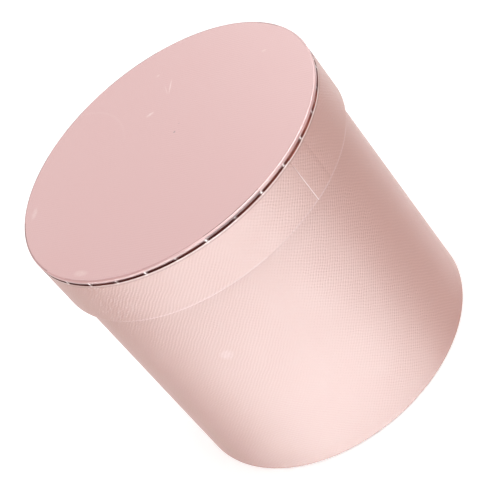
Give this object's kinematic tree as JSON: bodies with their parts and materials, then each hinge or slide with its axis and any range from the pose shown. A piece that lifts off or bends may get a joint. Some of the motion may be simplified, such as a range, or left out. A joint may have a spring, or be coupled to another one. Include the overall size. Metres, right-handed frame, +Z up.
{
  "type": "hat box",
  "caption": "Round tube hat box with a shallow lift-off lid, board covered in rose-gold metallised paper, canvas-embossed side and smooth top.",
  "frame": {"origin": "middle of the underside, where the box's axis meets the surface it stands on", "axes": "+Z up along the box's axis through the lid; +X and +Y across the box, -Y the side towards the viewer"},
  "size_m": [0.19, 0.19, 0.18],
  "materials": {
    "embossed_paper": "satin",
    "foil_paper": "gloss",
    "cover_paper": "matte",
    "lining_paper": "matte",
    "gummed_tape": "matte",
    "greyboard": "matte"
  },
  "bodies": {
    "base": {"base_wall_board": "greyboard", "base_wall_tape": "gummed_tape", "base_wrap": "embossed_paper", "base_bottom_board": "greyboard", "base_bottom_paper": "cover_paper", "base_liner_band": "lining_paper", "base_liner_disc": "lining_paper"},
    "lid": {"lid_top_board": "greyboard", "lid_top_foil": "foil_paper", "lid_rim_board": "greyboard", "lid_rim_tape": "gummed_tape", "lid_rim_wrap": "embossed_paper", "lid_plug_board": "greyboard", "lid_liner_disc": "lining_paper", "lid_liner_band": "lining_paper"}
  },
  "joints": [
    {"name": "lid_lift", "type": "slide", "parent": "base", "child": "lid", "axis": [0, 0, 1], "range_m": [0, 0.12]}
  ]
}
